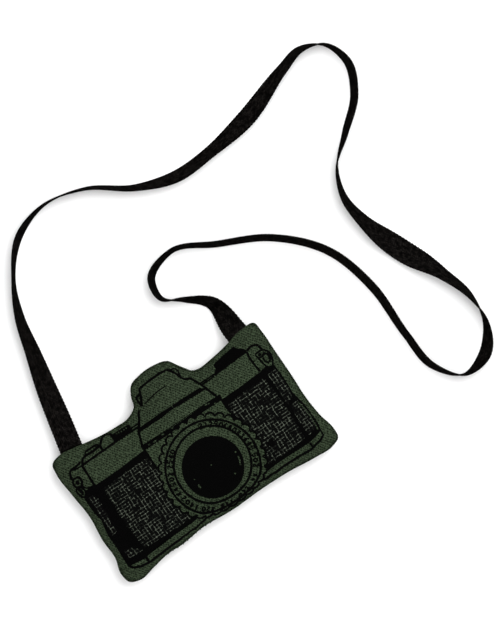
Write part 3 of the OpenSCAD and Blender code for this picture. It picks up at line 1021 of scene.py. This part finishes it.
class Nodes:
    """A material and short calls that add nodes to it and wire them."""

    def __init__(self, name):
        self.material = bpy.data.materials.new(name)
        self.material.use_nodes = True
        self.tree = self.material.node_tree
        self.shader = self.tree.nodes["Principled BSDF"]

    def add(self, kind, settings=(), **inputs):
        """Adds a node; inputs are named sockets, each given a value or another node's output."""
        node = self.tree.nodes.new("ShaderNode" + kind)
        for key, value in dict(settings).items():
            setattr(node, key, value)
        for key, value in inputs.items():
            self.join(node.inputs[key.replace("_", " ")], value)
        return node

    def join(self, socket, value):
        """Wires another node's output to a socket, or sets the socket's own value."""
        if isinstance(value, bpy.types.NodeSocket):
            self.tree.links.new(value, socket)
        else:
            socket.default_value = value

    def math(self, operation, *values):
        """The result of a mathematical operation."""
        node = self.tree.nodes.new("ShaderNodeMath")
        node.operation = operation
        for socket, value in zip(node.inputs, values):
            self.join(socket, value)
        return node.outputs[0]

    def times(self, value, factor):
        """The product of two values."""
        return self.math("MULTIPLY", value, factor)

    def times_plus(self, value, factor, extra):
        """The product of two values, with a third one added."""
        return self.math("MULTIPLY_ADD", value, factor, extra)

    def pair(self, x, y, z=0.0):
        """A vector from two or three values."""
        return self.add("CombineXYZ", X=x, Y=y, Z=z).outputs[0]

    def noise(self, vector, scale, detail=2.0, roughness=0.5):
        """A noise from 0 to 1, mostly near 0.5."""
        node = self.add("TexNoise", Vector=vector, Scale=scale, Detail=detail, Roughness=roughness)
        return node.outputs[0]

    def ramp(self, value, low, high, to_low=0.0, to_high=1.0):
        """The value carried from one range to another, and held at its ends."""
        node = self.add("MapRange")
        for key, number in (("Value", value), ("From Min", low), ("From Max", high), ("To Min", to_low),
                            ("To Max", to_high)):
            self.join(node.inputs[key], number)
        return node.outputs[0]

    def mix(self, share, a, b):
        """The first colour where the share is 0, the second where it is 1."""
        node = self.add("Mix", {"data_type": "RGBA"})
        self.join(node.inputs["Factor"], share)
        self.join(node.inputs[6], a)
        self.join(node.inputs[7], b)
        return node.outputs[2]

    def pattern_uv(self):
        """Place on the flat cloth in millimetres."""
        parts = self.add("SeparateXYZ", Vector=self.add("UVMap", {"uv_map": "pattern"}).outputs[0])
        return parts.outputs[0], parts.outputs[1]

    def bump(self, height, distance, strength):
        """Relief, as deep as the distance in metres."""
        node = self.add("Bump", Height=height, Distance=distance, Strength=strength)
        self.join(self.shader.inputs["Normal"], node.outputs[0])

    def finish(self, colour, roughness, specular, sheen=0.0):
        """Sets the shader and returns the material."""
        inputs = self.shader.inputs
        self.join(inputs["Base Color"], colour)
        inputs["Roughness"].default_value = roughness
        inputs["Specular IOR Level"].default_value = specular
        inputs["Sheen Weight"].default_value = sheen
        return self.material


# Width and height of one repeat of the weave, which holds two threads each way
WEAVE_X = 1.85
WEAVE_Y = 2.5
# How far the threads wander from straight, across and along
WEAVE_DRIFT = (4.0, -3.4)
# Where a thread begins beside a gap, on a scale on which 2 is the gap's middle: at small gaps and large ones
SMALL_GAP = 1.75
LARGE_GAP = 0.1
# Spacing of the hatch's upright and flat strokes, and how far they wander
HATCH_X = 2.3
HATCH_Y = 1.95
HATCH_DRIFT = (1.4, -1.2)
# Breaks in a stroke: how fast they follow one another, how softly they begin, how faint the stroke is there
BREAK_RATE = 0.26
BREAK_EDGE = 0.04
BREAK_FAINT = 0.06
# Part of a row's wave that is stroke, from its edge to its middle
STROKE_EDGE = 0.62
# Middle half of a noise, which is stretched to the whole range
NOISE_LOW = 0.38
NOISE_HIGH = 0.62

# The canvas's dark end is painted shade in the gaps of the weave, and also the darker tone of its threads
# where the grain is low
CANVAS_DARK = (0.0008, 0.0018, 0.0006, 1)
CANVAS_LIGHT = (0.0392, 0.0560, 0.0315, 1)
INK_COLOUR = (0.0006, 0.0006, 0.0006, 1)
INK_THIN = (0.0026, 0.0026, 0.0024, 1)
HATCH_DARK = (0.002, 0.003, 0.0018, 1)
HATCH_LIGHT = (0.100, 0.116, 0.088, 1)
WEBBING_DARK = (0.0003, 0.0003, 0.0003, 1)
WEBBING_LIGHT = (0.0215, 0.0190, 0.0175, 1)
# Width of a twill line and of a warp thread in the webbing
TWILL_PITCH = 1.5
WARP_PITCH = 0.75


def weave(nodes, x, y):
    """The weave: its height, from 0 in the gaps to 1 on the threads, and 1 where the warp lies on top."""
    drift = nodes.noise(nodes.pair(x, y), 0.12, 1.0)
    x = nodes.times_plus(drift, WEAVE_DRIFT[0], x)
    y = nodes.times_plus(drift, WEAVE_DRIFT[1], y)
    turn_x = nodes.times(x, math.tau / WEAVE_X)
    turn_y = nodes.times(y, math.tau / WEAVE_Y)
    over = nodes.ramp(nodes.times(nodes.math("SINE", turn_x), nodes.math("SINE", turn_y)), -0.4, 0.4)
    both = nodes.math("ADD", nodes.math("COSINE", turn_x), nodes.math("COSINE", turn_y))
    gap = nodes.math("ABSOLUTE", both)
    unevenness = nodes.noise(nodes.pair(x, y), 0.9, 1.0, 0.6)
    edge = nodes.ramp(unevenness, NOISE_LOW, NOISE_HIGH, SMALL_GAP, LARGE_GAP)
    thread = nodes.ramp(gap, 1.95, edge)
    return nodes.times(thread, nodes.times_plus(over, 0.12, 0.88)), over


def woven(name):
    """A new material: its nodes, the place on the flat cloth, and the weave's height and upper threads."""
    nodes = Nodes(name)
    x, y = nodes.pattern_uv()
    return nodes, x, y, *weave(nodes, x, y)


def canvas_material():
    """Dyed canvas: green threads with slubs both ways and an uneven dye, over gaps painted dark as shade."""
    nodes, x, y, height, over = woven("dyed_canvas")
    streak_x = nodes.noise(nodes.pair(nodes.times(x, 0.9), nodes.times(y, 0.07)), 1.0)
    streak_y = nodes.noise(nodes.pair(nodes.times(x, 0.07), nodes.times(y, 0.9)), 1.0)
    slub = nodes.ramp(nodes.math("ADD", streak_x, streak_y), 0.7, 1.3)
    grain = nodes.ramp(nodes.noise(nodes.pair(x, y), 0.7, 1.0), NOISE_LOW, NOISE_HIGH)
    share = nodes.times_plus(over, 0.04, nodes.times_plus(slub, 0.16, 0.3))
    share = nodes.times_plus(grain, 0.46, share)
    # Painted shade: the colour falls to the dark end as the weave's height drops, so the gaps between the
    # threads are near black
    share = nodes.times(share, height)
    nodes.bump(height, 0.22 * MM, 0.9)
    return nodes.finish(nodes.mix(share, CANVAS_DARK, CANVAS_LIGHT), 0.95, 0.02)


def ink_look(nodes, x, y):
    """Colour of the pigment, a little greyer where it lies thin on the threads."""
    thin = nodes.noise(nodes.pair(x, y), 1.4, 3.0, 0.65)
    return nodes.mix(nodes.ramp(thin, 0.55, 0.8), INK_COLOUR, INK_THIN)


def ink_material():
    """Black pigment, with the weave showing through as relief."""
    nodes, x, y, height, _ = woven("screen_ink")
    nodes.bump(height, 0.14 * MM, 0.7)
    return nodes.finish(ink_look(nodes, x, y), 0.8, 0.015)


def strokes(nodes, across, along, pitches, seed, share):
    """Light strokes along one axis, dotted at the other strokes' pitch.

    The share says how much of them is drawn in full; the rest is faint.
    """
    row = nodes.math("DIVIDE", across, pitches[0])
    wave = nodes.math("SINE", nodes.times(row, math.tau))
    number = nodes.math("FLOOR", nodes.math("ADD", row, 0.25))
    place = nodes.pair(nodes.times(along, BREAK_RATE), nodes.times(number, 3.7), seed)
    limit = NOISE_HIGH + (NOISE_LOW - NOISE_HIGH) * share
    drawn = nodes.ramp(nodes.noise(place, 1.0, 2.0, 0.6), limit, limit + BREAK_EDGE, BREAK_FAINT)
    dots = nodes.math("SINE", nodes.times(along, math.tau / pitches[1]))
    stroke = nodes.times(nodes.ramp(wave, STROKE_EDGE, 1.0), drawn)
    return nodes.times(stroke, nodes.ramp(dots, -0.9, 0.5, 0.5))


def hatch_material():
    """Ink over the canvas with fine light strokes left open both ways, denser in some patches."""
    nodes, x, y, height, _ = woven("screen_ink_hatch")
    drift = nodes.noise(nodes.pair(x, y), 0.2, 1.0)
    drawn_x = nodes.times_plus(drift, HATCH_DRIFT[0], x)
    drawn_y = nodes.times_plus(drift, HATCH_DRIFT[1], y)
    flat_strokes = strokes(nodes, drawn_y, drawn_x, (HATCH_Y, HATCH_X), 1.7, 0.68)
    upright_strokes = strokes(nodes, drawn_x, drawn_y, (HATCH_X, HATCH_Y), 8.3, 0.66)
    open_share = nodes.math("MAXIMUM", flat_strokes, upright_strokes)
    fade = nodes.noise(nodes.pair(x, y, 9.0), 0.22, 2.0)
    open_share = nodes.times(open_share, nodes.ramp(fade, 0.38, 0.48, 0.12, 1.0))
    grain = nodes.ramp(nodes.noise(nodes.pair(x, y, 4.0), 1.3, 1.0), NOISE_LOW, NOISE_HIGH)
    lit = nodes.mix(grain, HATCH_DARK, HATCH_LIGHT)
    nodes.bump(height, 0.16 * MM, 0.8)
    return nodes.finish(nodes.mix(open_share, ink_look(nodes, x, y), lit), 0.85, 0.03)


def ribs(nodes, place, pitch):
    """Rounded ribs at a pitch, 0 in the grooves and 1 on top."""
    return nodes.math("ABSOLUTE", nodes.math("SINE", nodes.times(place, math.pi / pitch)))


def webbing_material():
    """Black webbing: a chevron twill over fine ribs, fuzzy, with paler worn flecks and painted shade in the
    grooves between the ribs.
    """
    nodes = Nodes("black_webbing")
    across, along = nodes.pattern_uv()
    diagonal = nodes.math("ADD", nodes.math("ABSOLUTE", across), along)
    twill, warp = ribs(nodes, diagonal, TWILL_PITCH), ribs(nodes, across, WARP_PITCH)
    height = nodes.math("ADD", nodes.times(twill, 0.6), nodes.times(warp, 0.4))
    fuzz = nodes.noise(nodes.pair(across, nodes.times(along, 0.35)), 1.6, 3.0, 0.6)
    fleck = nodes.ramp(nodes.noise(nodes.pair(across, nodes.times(along, 0.6), 5.0), 0.55, 2.0), 0.4, 0.66)
    # Painted shade: the webbing is darker in the grooves between its ribs and lighter on their tops,
    # following their height
    share = nodes.times(nodes.ramp(height, 0.2, 0.95), nodes.ramp(fuzz, 0.36, 0.64))
    share = nodes.times(share, nodes.times_plus(fleck, 0.8, 0.2))
    nodes.bump(height, 0.3 * MM, 0.9)
    return nodes.finish(nodes.mix(share, WEBBING_DARK, WEBBING_LIGHT), 0.95, 0.0)


def thread_material(name, colour):
    """Spun thread, with the twist of its plies in relief and as painted shade in the grooves between them."""
    nodes = Nodes(name)
    place = nodes.add("TexCoord").outputs["Object"]
    twist = nodes.add("TexWave", {"bands_direction": "DIAGONAL"}, Vector=place, Scale=900.0, Distortion=1.0)
    # Painted shade: the thread is darker where the relief of the twist is low
    dark = tuple(c * 0.45 for c in colour[:3]) + (1,)
    nodes.bump(twist.outputs["Fac"], 0.06 * MM, 0.6)
    return nodes.finish(nodes.mix(twist.outputs["Fac"], dark, colour), 0.6, 0.3, 0.1)


def fibre_material():
    """White fibre fill, tufted, and greyer in the hollows between the tufts as painted shade."""
    nodes = Nodes("fibre_fill")
    place = nodes.add("TexCoord").outputs["Object"]
    tuft = nodes.noise(place, 220.0, 6.0, 0.7)
    nodes.bump(tuft, 2 * MM, 1.0)
    # Painted shade: the fill is greyer where the tufts' relief is low
    return nodes.finish(nodes.mix(tuft, (0.62, 0.62, 0.6, 1), (0.9, 0.9, 0.88, 1)), 0.95, 0.1, 0.3)


# ---- floor and light, in metres ----

FLOOR_HALF = 4.0
# Distances between which the floor starts to glow, and its glow beyond them
GLOW_FROM = 0.7
GLOW_TO = 2.6
GLOW = 0.6
LIGHT_AIM = (0.05, 0.05, 0)
# The studio's brightness is even up to the first height of a direction and from the second one on
WALL_HEIGHTS = (0.15, 0.5)
WALL_BRIGHTNESS = (0.97, 0.36)


def make_floor():
    """A plain pale floor, which glows a little far from the object, where the lights don't reach."""
    nodes = Nodes("pale_floor")
    place = nodes.add("TexCoord").outputs["Object"]
    distance = nodes.add("VectorMath", {"operation": "LENGTH"}, Vector=place).outputs["Value"]
    nodes.shader.inputs["Emission Color"].default_value = (1, 1, 1, 1)
    nodes.join(nodes.shader.inputs["Emission Strength"], nodes.ramp(distance, GLOW_FROM, GLOW_TO, 0.0, GLOW))
    colour = nodes.mix(nodes.noise(place, 3.0, 3.0), (0.86, 0.86, 0.86, 1), (0.9, 0.9, 0.9, 1))
    half = FLOOR_HALF / MM
    corners = [(-half, -half, 0), (half, -half, 0), (half, half, 0), (-half, half, 0)]
    mesh_object("floor", corners, [(0, 1, 2, 3)], nodes.finish(colour, 0.9, 0.1))


def area_light(name, place, size, power):
    """A round soft light aimed at the object."""
    data = bpy.data.lights.new(name, "AREA")
    data.shape = "DISK"
    data.size = size
    data.energy = power
    light = add_object(name, data)
    light.location = place
    aim = Vector(LIGHT_AIM) - light.location
    light.rotation_euler = aim.to_track_quat("-Z", "Y").to_euler()


def make_light():
    """A white studio, brighter towards the horizon than overhead, with a key light and a broad top light."""
    world = bpy.data.worlds.new("studio")
    bpy.context.scene.world = world
    world.use_nodes = True
    tree = world.node_tree
    background = tree.nodes["Background"]
    background.inputs["Color"].default_value = (1, 1, 1, 1)
    direction = tree.nodes.new("ShaderNodeTexCoord")
    parts = tree.nodes.new("ShaderNodeSeparateXYZ")
    strength = tree.nodes.new("ShaderNodeMapRange")
    names = ("From Min", "From Max", "To Min", "To Max")
    for name, value in zip(names, WALL_HEIGHTS + WALL_BRIGHTNESS):
        strength.inputs[name].default_value = value
    tree.links.new(direction.outputs["Generated"], parts.inputs[0])
    tree.links.new(parts.outputs[2], strength.inputs["Value"])
    tree.links.new(strength.outputs[0], background.inputs["Strength"])
    area_light("key", (0.9, 0.3, 1.6), 1.6, 30)
    area_light("fill", (-0.2, 0.0, 2.0), 2.2, 31)
    bpy.context.scene.view_settings.view_transform = "Standard"


# ---- the scene ----


def put(piece, node=None):
    """Puts a piece on the body, in place of a CAD node where one is named."""
    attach(piece, BODY)
    if node:
        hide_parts(node)


make_camera()
webbing = webbing_material()
strap, strap_line = make_strap(webbing)
put(strap, "strap")

canvas = canvas_material()
front_surface, back_surface = stuffed_panels()
drawing = camera_print()
front, front_outside = cloth_shell("front_canvas", front_surface, 1, drawing.shapes, canvas)
back, _ = cloth_shell("back_canvas", back_surface, -1, [], canvas)
for cloth, node in ((front, "front_panel"), (back, "back_panel")):
    put(cloth, node)
put(make_fill(front_surface, back_surface, fibre_material()), "stuffing")

inks = {INK: ink_material(), HATCH: hatch_material()}
for piece in printed_pieces(drawing, front_outside, inks):
    put(piece)

thread = thread_material("green_thread", (0.05, 0.065, 0.042, 1))
put(make_hand_stitches(thread), "closing_stitches")
black_thread = thread_material("black_thread", (0.012, 0.012, 0.012, 1))
CAD_MATERIALS = {
    "strap_end_left": webbing,
    "strap_end_right": webbing,
    "seam_needle_thread": thread,
    "seam_bobbin_thread": thread,
    "strap_tack_left": black_thread,
    "strap_tack_right": black_thread,
}
for node, material in CAD_MATERIALS.items():
    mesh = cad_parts[node].data
    mesh.materials.clear()
    mesh.materials.append(material)

make_floor()
make_light()
